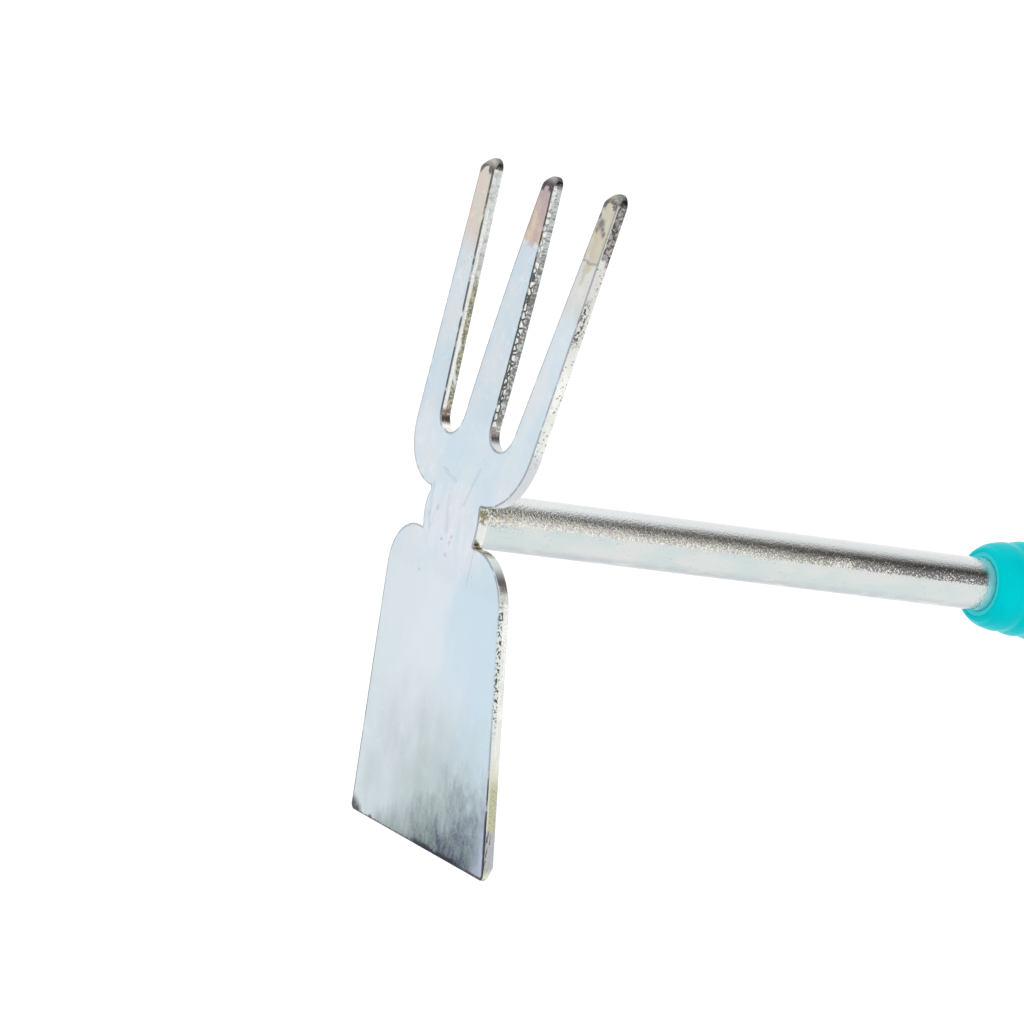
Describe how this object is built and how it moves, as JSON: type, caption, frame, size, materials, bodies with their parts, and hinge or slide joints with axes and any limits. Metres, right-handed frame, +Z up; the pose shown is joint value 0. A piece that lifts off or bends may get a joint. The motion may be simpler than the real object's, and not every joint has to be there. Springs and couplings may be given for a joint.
{
  "type": "three-prong hoe",
  "caption": "Short hand hoe with a flared blade on one side of the head and a three-prong fork on the other, on a tubular steel shank with a soft grip.",
  "frame": {"origin": "middle of the neck's front face, on the axis of the shank", "axes": "+X back along the shank to the grip, +Y across the head, +Z up through the fork"},
  "size_m": [0.3468, 0.0936, 0.2298],
  "materials": {
    "plated_sheet": "satin bright plating, stained at the prong tips and the cutting edge",
    "bright_tube": "bright drawn tube, lightly scratched",
    "weld_metal": "bright rippled weld",
    "soft_grip": "smooth, slightly glossy"
  },
  "bodies": {
    "root": {"head_plate": "plated_sheet", "shank_tube": "bright_tube", "weld_bead": "weld_metal", "grip_sleeve": "soft_grip"}
  },
  "joints": []
}
